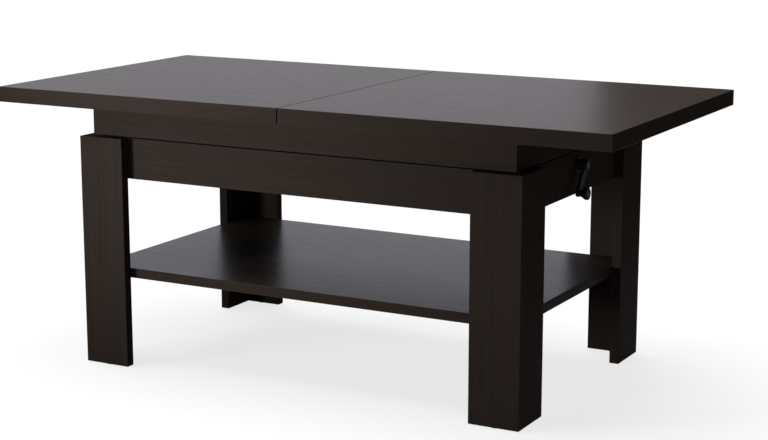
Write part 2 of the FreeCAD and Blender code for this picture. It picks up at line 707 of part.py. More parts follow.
def ring(name, bore, sections):
    """A turned ring: stacked sections of radius and height on one bore, from its own origin upwards."""
    points = [(bore, "0")]
    height = "0"
    for radius, step in sections:
        points.append((radius, height))
        height = f"{height} + {step}"
        points.append((radius, height))
    return turned(name, points + [(bore, height)])


shaft_bore = "spindle_radius + run_clear"
collar = ring("thrust_collar", shaft_bore, [("collar_radius", "collar_length")])
collar_start = f"{INNER_X} - bearing_length - slip - collar_length"
node("thrust_collar", place(turn(collar, aimed(1, 0, 0)), collar_start, "0", SPINDLE_Z))

bush = ring("crank_bush", shaft_bore, [("bush_radius", "apron_board"), ("bush_flange_radius", "bush_flange")])
node("crank_bush", place(turn(bush, aimed(1, 0, 0)), INNER_X, "0", SPINDLE_Z))

flange = box("bearing_flange_blank", ("bearing_flange", "bearing_width", "bearing_height"), (
    f"{INNER_X} - bearing_flange", "-bearing_width / 2", f"{SPINDLE_Z} - bearing_height / 2"))
boss_start = (f"{INNER_X} - bearing_length", "0", SPINDLE_Z)
boss = rod("bearing_boss", "bearing_radius", "bearing_length", aimed(1, 0, 0), boss_start)
bearing_bore = rod("drill", shaft_bore, "bearing_length + hole_spare", aimed(1, 0, 0), boss_start)
bearing_blank = fused("bearing_blank", [flange, boss])
bearing_holes = short_drills(bearing_stations) + [bearing_bore]
node("spindle_bearing", drilled("spindle_bearing", bearing_blank, bearing_holes))

tail_bar = box("tail_bar_flat", ("tail_bar_width", f"2 * {INNER_Y}", "tail_bar_thick"), (
    f"{TAIL_X} - tail_bar_width / 2", f"-{INNER_Y}", TAIL_BOTTOM))
tail_tall = f"{SPINDLE_Z} + spindle_radius + tail_plate_wall - {TAIL_BOTTOM}"
tail_plate = box("tail_plate", ("tail_plate_thick", "tail_plate_width", tail_tall), (
    f"{TAIL_X} - tail_plate_thick / 2", "-tail_plate_width / 2", TAIL_BOTTOM))
tail_bore = rod("drill", shaft_bore, "2 * tail_plate_thick", aimed(1, 0, 0), (SPINDLE_START, "0", SPINDLE_Z))
tail_blank = fused("tail_blank", [tail_bar, tail_plate])
node("tail_bar", drilled("tail_bar", tail_blank, tail_drills + [tail_bore]))

base_screw_stations = rail_stations["lower", "front"] + rail_stations["lower", "back"] + bearing_stations
copies("base_screws", [(rail_screw, base_screw_stations), (tail_bolt, tail_stations)])

crank = doc.addObject("PartDesign::Body", "crank_arm")
crank_sketch = sketch_on(crank, "YZ_Plane")
crank_holes = [("0", shaft_bore), (CRANK_REACH, "knob_pin_radius + run_clear")]
bar_outline(crank_sketch, CRANK_REACH, "crank_bar_width", crank_holes)
pad(crank, crank_sketch, "crank_bar_thick")
hub_lengths = (("crank_standoff - bush_flange - slip", True), ("crank_bar_thick + crank_hub_proud", False))
for length, backwards in hub_lengths:
    hub_sketch = sketch_on(crank, "YZ_Plane")
    circle(hub_sketch, "0", "crank_hub_radius")
    circle(hub_sketch, "0", shaft_bore)
    pad(crank, hub_sketch, length, backwards)
turn(crank, FreeCAD.Rotation(FreeCAD.Vector(-1, 0, 0), 1))
crank.setExpression("Placement.Rotation.Angle", bound("90 + crank_angle"))
node("crank_arm", place(crank, CRANK_X, "0", SPINDLE_Z))

KNOB_SEAT = "(knob_length - knob_sink)"
knob_bore = "knob_pin_radius + run_clear"
knob_well = "knob_pin_head_radius + slip"
knob = turned("crank_knob", [
    (knob_bore, "0"), ("knob_root_radius", "0"), ("knob_root_radius", "knob_neck"),
    ("knob_end_radius", "knob_length - knob_rim"), ("knob_end_radius", "knob_length"),
    (knob_well, "knob_length"), (knob_well, KNOB_SEAT), (knob_bore, KNOB_SEAT)])
widest = number("knob_end_radius")
rims = [
    f"Edge{index}" for index, edge in enumerate(knob.Shape.Edges, start=1)
    if hasattr(edge.Curve, "Radius") and abs(edge.Curve.Radius - widest) < number("slip")
    and len(edge.Vertexes) == 1]
soften(knob, knob.Tip, rims, "knob_round")
node("crank_knob", place(turn(knob, aimed(1, 0, 0)), KNOB_X, KNOB_Y, KNOB_Z))

pin_long = f"(crank_bar_thick + knob_gap + {KNOB_SEAT} + slip)"
pin_end = f"({pin_long} + knob_sink - 2 * slip)"
knob_pin = turned("knob_pin", [
    ("0", "0"), ("knob_pin_radius", "0"), ("knob_pin_radius", pin_long), ("knob_pin_head_radius", pin_long),
    ("knob_pin_head_radius", pin_end), ("0", pin_end)])
node("knob_pin", place(turn(knob_pin, aimed(1, 0, 0)), CRANK_X, KNOB_Y, KNOB_Z))

# Upper box: long boards, and end boards with their top corners notched for the runners.
for name, side in FRONT_BACK:
    label = f"upper_apron_{name}"
    corner = (f"-{APRON_X}", low_edge(side, INNER_Y, APRON_Y), UPPER_BOTTOM)
    blank = board(f"{label}_blank", (f"2 * {APRON_X}", "apron_board", "upper_apron_height"), corner)
    stations = rail_stations["upper", name] + slide_stations[name] + tab_stations[name] + angle_stations[name]
    node(label, drilled(label, blank, short_drills(stations)))
notched = [
    (f"-{INNER_Y}", UPPER_BOTTOM), (INNER_Y, UPPER_BOTTOM), (INNER_Y, RUNNER_CLEAR),
    (RAIL_FACE, RUNNER_CLEAR), (RAIL_FACE, UPPER_TOP), (f"-{RAIL_FACE}", UPPER_TOP),
    (f"-{RAIL_FACE}", RUNNER_CLEAR), (f"-{INNER_Y}", RUNNER_CLEAR)]
for name, end in LEFT_RIGHT:
    label = f"upper_apron_{name}"
    blank = extrusion(f"{label}_blank", notched, "apron_board", low_edge(end, INNER_X, APRON_X))
    soften(blank, blank.Tip, [], "board_round")
    node(label, drilled(label, blank, short_drills(angle_stations[name])))


def slide_section(side):
    """A channel that opens upwards through a slot between two lips."""
    slot_in = f"{side} * ({RAIL_MID} - slide_slot / 2)"
    slot_out = f"{side} * ({RAIL_MID} + slide_slot / 2)"
    inside = f"{side} * {RAIL_FACE}"
    outside = f"{side} * {INNER_Y}"
    wall_in = f"{side} * ({RAIL_FACE} + slide_wall)"
    wall_out = f"{side} * ({INNER_Y} - slide_wall)"
    lip = f"{UPPER_TOP} - slide_wall"
    return [
        (inside, SLIDE_BOTTOM), (outside, SLIDE_BOTTOM), (outside, UPPER_TOP), (slot_out, UPPER_TOP),
        (slot_out, lip), (wall_out, lip), (wall_out, SLIDE_FLOOR), (wall_in, SLIDE_FLOOR), (wall_in, lip),
        (slot_in, lip), (slot_in, UPPER_TOP), (inside, UPPER_TOP)]


for name, side in FRONT_BACK:
    label = f"slide_rail_{name}"
    channel = extrusion(f"{label}_channel", slide_section(side), f"2 * {INNER_X}", f"-{INNER_X}")
    stop_size = ("stop_length", "stop_width", f"{RUNNER_CLEAR} - {SLIDE_FLOOR}")
    stop_y = f"{side} * {RAIL_MID} - stop_width / 2"
    stops = [
        box(f"{label}_stop", stop_size, (
            low_edge(end, STOP_X, f"{STOP_X} + stop_length"), stop_y, SLIDE_FLOOR))
        for end in (-1, 1)]
    blank = fused(f"{label}_blank", [channel, *stops])
    node(label, drilled(label, blank, short_drills(slide_stations[name])))

bearers = []
for end in (-1, 1):
    near = low_edge(end, BEARER_NEAR, BEARER_FAR)
    inward = f"(min({BEARER_NEAR}; top_width / 2) - bearer_lap)"
    strap = box("bearer_strap", ("bearer_width", f"2 * {INNER_Y}", "bearer_thick"), (
        near, f"-{INNER_Y}", BEARER_BOTTOM))
    tongue = box("bearer_tongue", (f"{BEARER_FAR} - {inward}", f"2 * {LEAF_HALF}", "bearer_thick"), (
        low_edge(end, inward, BEARER_FAR), f"-{LEAF_HALF}", BEARER_BOTTOM))
    tabs = [
        box("bearer_tab", ("bearer_width", "bearer_thick", "bearer_tab"), (
            near, low_edge(side, f"{INNER_Y} - bearer_thick", INNER_Y), BEARER_TOP)) for side in (-1, 1)]
    holes = [hole for name, side in FRONT_BACK for hole in short_drills(tab_stations[name])]
    bearers.append(drilled("bearer", fused("bearer_blank", [strap, tongue, *tabs]), holes))
bearer_pair = doc.addObject("Part::Compound", "leaf_bearers")
bearer_pair.Links = bearers
node("leaf_bearers", bearer_pair)

DOWEL_Y = ("-dowel_pitch", "0", "dowel_pitch")
leaf_mid = f"({BEARER_TOP} + top_board / 2)"
leaf_sockets = [
    rod("drill", "dowel_radius + slip", "dowel_length - dowel_seat + hole_spare", aimed(0, 1, 0), (
        x, f"{LEAF_HALF} - dowel_length + dowel_seat", leaf_mid)) for x in DOWEL_Y]
leaf_blank = board("leaf_blank", ("top_width", f"2 * {LEAF_HALF}", "top_board"), (
    "-top_width / 2", f"-{LEAF_HALF}", BEARER_TOP))
node("extension_leaf", drilled("extension_leaf", leaf_blank, leaf_sockets))

angle_section = [
    ("0", "0"), ("angle_leg", "0"), ("angle_leg", "angle_wall"), ("angle_wall", "angle_wall"),
    ("angle_wall", "angle_leg"), ("0", "angle_leg")]
angle_body = doc.addObject("PartDesign::Body", "corner_angle")
angle_sketch = sketch_on(angle_body, "XY_Plane")
outline(angle_sketch, angle_section)
pad(angle_body, angle_sketch, "angle_tall")
angle_holes = [
    rod("drill", "screw_radius + run_clear", "2 * angle_wall", rotation, start) for rotation, start in (
        (aimed(1, 0, 0), ("-angle_wall / 2", "angle_leg / 2", "angle_tall / 2")),
        (aimed(0, 1, 0), ("angle_leg / 2", "-angle_wall / 2", "angle_tall / 2")))]
angle_master = drilled("angle_drilled", angle_body, angle_holes)
angle_turns = (("-", "-", 0), ("", "-", 90), ("", "", 180), ("-", "", 270))
copies("corner_angles", [(angle_master, [
    (FreeCAD.Rotation(UP, degrees), (f"{x_sign}{INNER_X}", f"{y_sign}{INNER_Y}", ANGLE_BOTTOM))
    for x_sign, y_sign, degrees in angle_turns])])

frame_screw_stations = []
for name, side in FRONT_BACK:
    frame_screw_stations += rail_stations["upper", name] + slide_stations[name] + tab_stations[name]
for stations in angle_stations.values():
    frame_screw_stations += stations
copies("frame_screws", [(rail_screw, frame_screw_stations)])

# The top: two halves that meet at the middle, each screwed to a pair of runners. The faces that meet
# are rebated all round, so the seam shows as a narrow groove and no light comes through it.
half_head = "runner_head_width / 2"
half_stem = "runner_stem_width / 2"
stem_top = f"{TOP_UNDERSIDE} - {RUNNER_BOTTOM}"
runner_bar = extrusion("runner_bar", [
    (f"-{half_head}", "0"), (half_head, "0"), (half_head, "runner_head_height"),
    (half_stem, "runner_head_height"), (half_stem, stem_top), (f"-{half_stem}", stem_top),
    (f"-{half_stem}", "runner_head_height"), (f"-{half_head}", "runner_head_height")], "runner_length", "0")
peg_drop = f"({RUNNER_BOTTOM} - {SLIDE_FLOOR} - runner_play)"
runner_peg = box("runner_peg", ("stop_length", "stop_width", peg_drop), (
    "0", "-stop_width / 2", f"-{peg_drop}"))
runner_blank = fused("runner_blank", [runner_bar, runner_peg])
runner_bores = [(aimed(0, 0, 1), (x, "0", "-hole_spare")) for x in RUNNER_SCREWS]
runner_drills = screw_drills(runner_bores, "screw_radius", "runner_screw_length")
runner_master = drilled("runner", runner_blank, runner_drills)

dowel_depth = "dowel_length - dowel_seat + seam_gap / 2 + hole_spare"
half_dowels = [(aimed(1, 0, 0), ("seam_gap / 2 + dowel_seat - dowel_length", y, TOP_MID)) for y in DOWEL_Y]
for name, end in LEFT_RIGHT:
    screw_stations = [
        (aimed(0, 0, 1), (f"{end} * (runner_inset + {x})", f"{side} * {RAIL_MID}", RUNNER_BOTTOM))
        for side in (-1, 1) for x in RUNNER_SCREWS]
    holes = screw_drills(screw_stations, "screw_radius", "runner_screw_length")
    if end > 0:
        holes += screw_drills(half_dowels, "dowel_radius", "dowel_length")
    else:
        holes += [
            rod("drill", "dowel_radius + slip", dowel_depth, aimed(-1, 0, 0), ("0", y, TOP_MID))
            for y in DOWEL_Y]
    label = f"top_{name}_half"
    corner = (low_edge(end, "seam_gap / 2", "top_length / 2"), "-top_width / 2", TOP_UNDERSIDE)
    half = board(f"{label}_board", ("(top_length - seam_gap) / 2", "top_width", "top_board"), corner)
    land_size = (
        "seam_rebate - run_clear / 2", "top_width - 2 * seam_rebate", "top_board - 2 * seam_rebate")
    land = box(f"{label}_land", land_size, (
        low_edge(end, "run_clear / 2", "seam_rebate"), "seam_rebate - top_width / 2",
        f"{TOP_UNDERSIDE} + seam_rebate"))
    node(label, drilled(label, fused(f"{label}_blank", [half, land]), holes))
    along = FreeCAD.Rotation(UP, 0 if end > 0 else 180)
    copies(f"{name}_runners", [(runner_master, [
        (along, (f"{end} * runner_inset", f"{side} * {RAIL_MID}", RUNNER_BOTTOM)) for side in (-1, 1)])])
    copies(f"{name}_runner_screws", [(runner_screw, screw_stations)])
copies("alignment_dowels", [(dowel, half_dowels)])

# Every piece is tested before any file is written.
doc.recompute()
for item in doc.Objects:
    if "Invalid" in item.State or "Error" in item.State:
        raise RuntimeError(f"{item.Label} failed: {item.State}")
os.makedirs("parts", exist_ok=True)
for label, piece in nodes.items():
    if piece.Shape.isNull() or not piece.Shape.isValid() or not piece.Shape.Solids:
        raise RuntimeError(f"{label} has no valid shape")
for label, piece in nodes.items():
    piece.Shape.exportStep(f"parts/{label}.step")
    print(label, len(piece.Shape.Solids), round(piece.Shape.Volume))
print(len(nodes), "nodes")
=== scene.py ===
# %% [markdown]
# # A coffee table that cranks up into a dining table
# The table's boards, rails, arms and screws were built to size before, and they arrive here as a
# fixed frame. Nothing in it is moved or reshaped. This lesson adds what a construction model lacks:
# the dark laminate with its grain, the metals and plastics of the lift, a cut thread on the spindle,
# a smooth turned knob, screw heads with a recess, and a plain studio to look at them in.

# %% Load the fixed frame
import json
import math

import bpy
import numpy as np
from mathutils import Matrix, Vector


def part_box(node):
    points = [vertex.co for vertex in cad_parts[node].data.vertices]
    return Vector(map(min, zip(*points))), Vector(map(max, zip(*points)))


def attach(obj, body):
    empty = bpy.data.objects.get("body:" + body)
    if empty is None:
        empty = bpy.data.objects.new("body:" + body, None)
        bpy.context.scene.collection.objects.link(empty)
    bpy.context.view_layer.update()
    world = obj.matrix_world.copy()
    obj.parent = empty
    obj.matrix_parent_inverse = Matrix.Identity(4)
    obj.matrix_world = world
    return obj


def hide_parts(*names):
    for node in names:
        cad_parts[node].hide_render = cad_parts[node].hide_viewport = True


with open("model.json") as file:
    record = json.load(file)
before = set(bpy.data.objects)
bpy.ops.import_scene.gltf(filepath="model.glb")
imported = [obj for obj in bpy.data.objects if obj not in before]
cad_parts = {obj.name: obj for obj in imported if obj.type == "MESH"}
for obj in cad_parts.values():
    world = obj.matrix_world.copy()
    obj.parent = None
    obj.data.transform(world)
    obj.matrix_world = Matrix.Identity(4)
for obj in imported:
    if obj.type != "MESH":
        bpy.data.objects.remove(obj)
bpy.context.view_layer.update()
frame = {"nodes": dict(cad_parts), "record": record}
nodes = frame["nodes"]
slot_of = {row["node"]: row["material_slot"] for row in frame["record"]["subparts"]}

# %% [markdown]
# ## The camera
# The photograph was taken with a long lens from the front right, a little above the top. Its place was
# found by lining up board edges with the picture. The same camera could be set by hand in the viewport,
# but numbers keep it the same on every run. Blender wants the lens in millimetres on a sensor, so the
# focal length, known in pixels of the picture, is scaled by the picture's width.

# %% Camera at the photograph's angle
PICTURE_WIDTH = 768
FOCAL_LENGTH_PIXELS = 1759.0
CAMERA_PLACE = (1.5549, -2.7830, 0.9182)
CAMERA_DOWN = 0.2028
CAMERA_LEFT = 0.4979

lens = bpy.data.cameras.new("camera")
lens.sensor_fit = "HORIZONTAL"
lens.lens = FOCAL_LENGTH_PIXELS / PICTURE_WIDTH * lens.sensor_width
camera = bpy.data.objects.new("camera", lens)
camera.location = CAMERA_PLACE
camera.rotation_euler = (math.pi / 2 - CAMERA_DOWN, 0, CAMERA_LEFT)
scene = bpy.context.scene
scene.collection.objects.link(camera)
scene.camera = camera
scene.view_settings.view_transform = "Standard"
print("lens", round(lens.lens, 2), "mm")

# %% [markdown]
# ## A finish is a small tree of nodes
# Every material below is built from the same few moves: take the object's own coordinates, stretch
# them, put noise on them, and turn the noise into colour, roughness and bump. Image textures could do
# this too, but noise needs no file and stays sharp close up. The class below shortens those moves.
# Noise seldom leaves the middle of its range, so a span picks out a part of that middle and stretches it.
# A number that is the same all over goes straight on the shader, so that it survives an export.

# %% Helper that mixes a finish


def add_node(tree, kind, inputs, **settings):
    """Adds one node, sets it up, and feeds its inputs with values or with the outputs of other nodes."""
    node = tree.nodes.new(kind)
    for name, value in settings.items():
        setattr(node, name, value)
    for key, value in inputs.items():
        if isinstance(value, bpy.types.NodeSocket):
            tree.links.new(value, node.inputs[key])
        else:
            node.inputs[key].default_value = value
    return node


class Finish:
    """A material being mixed: its shader, the object's own coordinates, and short calls that add nodes."""

    def __init__(self, name, roughness, ior=1.5, metallic=0.0):
        self.material = bpy.data.materials.new(name)
        self.material.use_nodes = True
        self.tree = self.material.node_tree
        self.shader = self.tree.nodes["Principled BSDF"]
        self.shader.inputs["Roughness"].default_value = roughness
        self.shader.inputs["IOR"].default_value = ior
        self.shader.inputs["Metallic"].default_value = metallic
        coordinates = self.tree.nodes.new("ShaderNodeTexCoord")
        self.place = coordinates.outputs["Object"]
        self.facing = coordinates.outputs["Normal"]

    def add(self, kind, inputs, out=0, **settings):
        """Adds one node and gives back one of its outputs."""
        return add_node(self.tree, kind, inputs, **settings).outputs[out]

    def math(self, operation, first, second=0.0):
        """One sum on two numbers."""
        return self.add("ShaderNodeMath", {0: first, 1: second}, operation=operation)

    def vector(self, operation, first, second=(0, 0, 0)):
        """One sum on two vectors."""
        return self.add("ShaderNodeVectorMath", {0: first, 1: second}, operation=operation)

    def split(self, vector):
        """The three numbers of a vector."""
        return tuple(add_node(self.tree, "ShaderNodeSeparateXYZ", {0: vector}).outputs)

    def noise(self, place, stretch, detail=4.0, roughness=0.55):
        """Cloudy noise from 0 to 1, with so many clouds to a metre along each axis."""
        scaled = self.vector("MULTIPLY", place, stretch)
        settings = {"Vector": scaled, "Scale": 1.0, "Detail": detail, "Roughness": roughness}
        return self.add("ShaderNodeTexNoise", settings)

    def span(self, value, start, end, low=0.0, high=1.0):
        """Takes start to low and end to high, and holds beyond them."""
        inputs = {"Value": value, "From Min": start, "From Max": end, "To Min": low, "To Max": high}
        return self.add("ShaderNodeMapRange", inputs)

    def tint(self, share, under, over):
        """A colour between two: none of the over colour at 0, all of it at 1."""
        return self.add("ShaderNodeMix", {0: share, 6: under, 7: over}, out=2, data_type="RGBA")

    def feed(self, value, socket):
        """Wires a value to one of the shader's own inputs."""
        self.tree.links.new(value, self.shader.inputs[socket])

    def complete(self, colour, rough, height, bump, depth):
        """Wires colour, roughness and a bump of a real depth in metres to the shader."""
        self.feed(colour, "Base Color")
        self.feed(rough, "Roughness")
        relief = {"Height": height, "Strength": bump, "Distance": depth}
        self.feed(self.add("ShaderNodeBump", relief), "Normal")
        return self.material


def paint(node, material):
    """Gives a piece of the frame a new finish and leaves its shape alone."""
    nodes[node].data.materials.clear()
    nodes[node].data.materials.append(material)


def shade(red, green, blue):
    """A colour as a paint chart gives it, 0 to 255, made linear as the shader wants it."""
    chart = np.array([red, green, blue]) / 255
    linear = np.where(chart <= 0.04045, chart / 12.92, ((chart + 0.055) / 1.055) ** 2.4)
    return (*linear.tolist(), 1.0)


print("a mid brown, made linear:", [round(c, 3) for c in shade(53, 46, 42)])

# %% [markdown]
# ## The dark laminate
# The boards are chipboard under a printed and embossed foil: black-brown, with thin streaks and short
# pores that run along each board. One material for all would carry one grain straight through every
# board, as if the table were carved from a block. So each board gets its own, with its grain turned to
# the board's length and shifted to another place in the noise.
# The foil ends in a thin edge band, whose print runs along the edge. So where a face looks along the
# grain, the two axes change places. The sharp edges get a paler brown, partly wear and partly a painted
# highlight where a rounded edge would catch the light: how far a point lies from the nearest edge is
# the middle one of its three depths under the board's faces.

# %% Grain and edges of a board
AXIS = {"X": 0, "Y": 1, "Z": 2}
# A face looks along an axis where that part of its normal is longer than this.
LOOKS_ALONG = 0.7


def depth_to_edge(finish, board):
    """Metres from a point of the surface to the board's nearest edge: the middle of its three depths."""
    low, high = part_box(board)
    middle = (low + high) / 2
    half = (high - low) / 2
    from_middle = finish.vector("ABSOLUTE", finish.vector("SUBTRACT", finish.place, middle))
    x, y, z = finish.split(finish.vector("SUBTRACT", half, from_middle))
    lesser = finish.math("MINIMUM", x, y)
    greater = finish.math("MAXIMUM", x, y)
    return finish.math("MAXIMUM", lesser, finish.math("MINIMUM", greater, z))


def looks_along(finish, axis):
    """1 on the faces that look along an axis, 0 on the others."""
    share = finish.math("ABSOLUTE", finish.split(finish.facing)[AXIS[axis]])
    return finish.math("GREATER_THAN", share, LOOKS_ALONG)


def grain_place(finish, along, band, shift):
    """Coordinates with the grain on X: the board's length, or the edge band's length on the board's ends."""
    numbers = finish.split(finish.vector("ADD", finish.place, shift))
    length = numbers[AXIS[along]]
    width = numbers[AXIS[band]]
    thickness = next(numbers[AXIS[axis]] for axis in AXIS if axis not in (along, band))
    on_face = finish.add("ShaderNodeCombineXYZ", {0: length, 1: width, 2: thickness})
    on_end = finish.add("ShaderNodeCombineXYZ", {0: width, 1: length, 2: thickness})
    is_end = looks_along(finish, along)
    return finish.add("ShaderNodeMix", {0: is_end, 4: on_face, 5: on_end}, out=1, data_type="VECTOR")


print("grain and edges follow each board's own box")

# %% Colour of the laminate
BROAD_BANDS = (0.9, 9.0, 9.0)
THIN_STREAKS = (2.4, 150.0, 150.0)
SHORT_PORES = (26.0, 1100.0, 1100.0)
RUBBING = (60.0, 60.0, 60.0)
BAND_SHARE = 0.4
PORE_SHARE = 0.3
JOINT_SHARE = 0.35
DARK_GRAIN = shade(49, 43, 39)
MID_GRAIN = shade(53, 46, 42)
PALE_GRAIN = shade(57, 49, 44)
PORE_BROWN = shade(32, 27, 25)
JOINT_BROWN = shade(22, 19, 18)
# A paler brown on the edges: partly wear, partly a painted highlight of the rounded edge.
WORN_HIGHLIGHT_BROWN = shade(84, 75, 68)
BAND_THICKNESS = 0.0009
JOINT_HALF_WIDTH = BAND_THICKNESS / 6
WORN_HIGHLIGHT_WIDTH = 0.0011


def printed_wood(finish, bands, streaks, pores):
    """The foil's print: three browns by the tone of its bands and streaks, and darker pores."""
    broad = finish.math("MULTIPLY", bands, BAND_SHARE)
    tone = finish.math("ADD", broad, finish.math("MULTIPLY", streaks, 1 - BAND_SHARE))
    lean = finish.tint(finish.span(tone, 0.34, 0.52), DARK_GRAIN, MID_GRAIN)
    wood = finish.tint(finish.span(tone, 0.5, 0.68), lean, PALE_GRAIN)
    return finish.tint(finish.math("MULTIPLY", pores, PORE_SHARE), wood, PORE_BROWN)


def edged(finish, board, wood):
    """The colour near the board's edges: a dark line where the band meets the foil, and corners made paler
    by wear and a painted highlight.
    """
    edge = depth_to_edge(finish, board)
    near_joint = {0: edge, 1: BAND_THICKNESS, 2: JOINT_HALF_WIDTH}
    joint = finish.add("ShaderNodeMath", near_joint, operation="COMPARE")
    jointed = finish.tint(finish.math("MULTIPLY", joint, JOINT_SHARE), wood, JOINT_BROWN)
    # The edges take the paler brown in patches: partly wear, partly a painted highlight.
    patches = finish.span(finish.noise(finish.place, RUBBING, detail=3.0), 0.35, 0.75, 0.1, 0.6)
    wear_and_highlight = finish.math("MULTIPLY", finish.span(edge, WORN_HIGHLIGHT_WIDTH, 0.0), patches)
    return finish.tint(wear_and_highlight, jointed, WORN_HIGHLIGHT_BROWN)


# How far in the edges are paler with wear and a painted highlight.
print("worn", round(WORN_HIGHLIGHT_WIDTH * 1000, 1), "mm in from the edges")

# %% Dark laminate
UPRIGHT_IOR = 1.035
UPRIGHT_ROUGHNESS = 0.46
TOP_IOR = 1.1
SHELF_IOR = 1.19
FLAT_ROUGHNESS = 0.28
FACE_GLOSS = 0.5
BAND_GLOSS = 0.04
SHIFT_STEP = np.array([0.731, 0.417, 0.593])
EMBOSSING = (2600.0, 2600.0, 2600.0)
EMBOSSED = 0.25
STREAK_RISE = 0.35
PORE_SINK = 0.8
FOIL_BUMP = 0.22
FOIL_RELIEF = 0.0001


def embossed(finish, streaks, pores):
    """Height of the foil: a fine even grain, raised streaks and sunk pores."""
    fine = finish.math("MULTIPLY", finish.noise(finish.place, EMBOSSING, detail=1.0), EMBOSSED)
    sunk = finish.math("SUBTRACT", fine, finish.math("MULTIPLY", pores, PORE_SINK))
    return finish.math("ADD", sunk, finish.math("MULTIPLY", streaks, STREAK_RISE))


def laminate(board, along, band, lies_flat, order):
    """Black-brown foil: broad bands, thin streaks and short dark pores along the grain, paler at the edges
    with wear and a painted highlight.
    A flat board is smoother and glossier than an upright one, but the bands round it are dull."""
    flat_ior = SHELF_IOR if board == "shelf" else TOP_IOR
    ior, roughness = (flat_ior, FLAT_ROUGHNESS) if lies_flat else (UPRIGHT_IOR, UPRIGHT_ROUGHNESS)
    finish = Finish(f"laminate_{board}", roughness, ior)
    place = grain_place(finish, along, band, (SHIFT_STEP * order).tolist())
    bands = finish.noise(place, BROAD_BANDS, detail=3.0)
    streaks = finish.noise(place, THIN_STREAKS, detail=6.0, roughness=0.62)
    pores = finish.span(finish.noise(place, SHORT_PORES, detail=2.0), 0.58, 0.68)
    colour = edged(finish, board, printed_wood(finish, bands, streaks, pores))
    satin = finish.span(streaks, 0.25, 0.75, roughness - 0.02, roughness + 0.03)
    rough = finish.math("ADD", satin, finish.math("MULTIPLY", pores, 0.1))
    if lies_flat:
        gloss = finish.add("ShaderNodeMix", {0: looks_along(finish, "Z"), 2: BAND_GLOSS, 3: FACE_GLOSS})
        finish.feed(gloss, "Specular IOR Level")
    return finish.complete(colour, rough, embossed(finish, streaks, pores), FOIL_BUMP, FOIL_RELIEF)


boards = sorted(name for name, slot in slot_of.items() if slot == "dark_laminate")
for order, board in enumerate(boards, start=1):
    low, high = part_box(board)
    longest_first = sorted(AXIS, key=lambda axis: low[AXIS[axis]] - high[AXIS[axis]])
    lies_flat = longest_first[2] == "Z"
    # The two halves of the top carry one print, which runs the length of the whole table.
    along, band = ("X", "Y") if board.startswith("top_") else longest_first[:2]
    paint(board, laminate(board, along, band, lies_flat, order))
print(len(boards), "laminated boards")

# %% [markdown]
# ## Metals, plastics and beech
# Inside the box are a powder-coated lift, zinc-plated screws and shafts, nylon shoes, a bronze nut, cast
# alloy runners and beech dowels. Each could be one grey with one roughness, but no real part is: powder
# coat has a fine orange peel, zinc is mottled, nylon shows how it flowed into its mould, bronze is
# streaked by the cutter. Each finish below has its own noise for that, at the scale of the real thing.

# %% Powder-coated steel and moulded plastics


def coated(name, colour, speck, ior, roughness, grain, bump, depth):
    """A skin over the whole part: a fine even texture, specks of a second colour and cloudy gloss."""
    finish = Finish(name, roughness, ior)
    peel = finish.noise(finish.place, (grain, grain, grain), detail=2.0)
    fine = finish.noise(finish.place, (grain * 3, grain * 3, grain * 3), detail=1.0)
    specks = finish.span(fine, 0.6, 0.72)
    cloud = finish.noise(finish.place, (22.0, 22.0, 22.0), detail=5.0)
    body = finish.tint(finish.span(cloud, 0.3, 0.7), colour, speck)
    mottled = finish.tint(finish.math("MULTIPLY", specks, 0.3), body, speck)
    rough = finish.span(cloud, 0.25, 0.75, roughness - 0.07, roughness + 0.07)
    return finish.complete(mottled, rough, peel, bump, depth)


finishes = {
    "black_steel": coated(
        "black_steel", shade(34, 33, 34), shade(43, 42, 43), 1.2, 0.5, 900.0, 0.5, 0.00008),
    "grey_nylon": coated(
        "grey_nylon", shade(106, 107, 110), shade(122, 122, 124), 1.5, 0.55, 1500.0, 0.25, 0.00004),
    "black_plastic": coated(
        "black_plastic", shade(26, 25, 27), shade(35, 34, 36), 1.2, 0.45, 1900.0, 0.4, 0.00005),
}
print("coated:", ", ".join(finishes))

# %% Bare metals and beech


def bare_metal(name, colour, tarnish, roughness, stretch, bump, depth):
    """Metal with tool marks drawn out along one axis, and a thin tarnish in clouds."""
    finish = Finish(name, roughness, metallic=1.0)
    marks = finish.noise(finish.place, stretch, detail=5.0, roughness=0.6)
    cloud = finish.noise(finish.place, (45.0, 45.0, 45.0), detail=5.0)
    stain = finish.tint(finish.span(cloud, 0.4, 0.75, 0.0, 0.7), colour, tarnish)
    worked = finish.tint(finish.span(marks, 0.3, 0.7, 0.0, 0.25), stain, tarnish)
    rough = finish.span(marks, 0.25, 0.75, roughness - 0.08, roughness + 0.1)
    return finish.complete(worked, rough, marks, bump, depth)


def beech_wood(name):
    """Pale close-grained wood: faint rings along the dowel and the short brown flecks of its rays."""
    finish = Finish(name, 0.62)
    rings = finish.noise(finish.place, (60.0, 700.0, 700.0), detail=4.0)
    flecks = finish.span(finish.noise(finish.place, (350.0, 2600.0, 2600.0), detail=1.0), 0.62, 0.7)
    wood = finish.tint(finish.span(rings, 0.3, 0.7), shade(205, 172, 132), shade(222, 194, 155))
    flecked = finish.tint(finish.math("MULTIPLY", flecks, 0.6), wood, shade(158, 116, 78))
    rough = finish.span(rings, 0.3, 0.7, 0.55, 0.7)
    return finish.complete(flecked, rough, rings, 0.3, 0.0001)


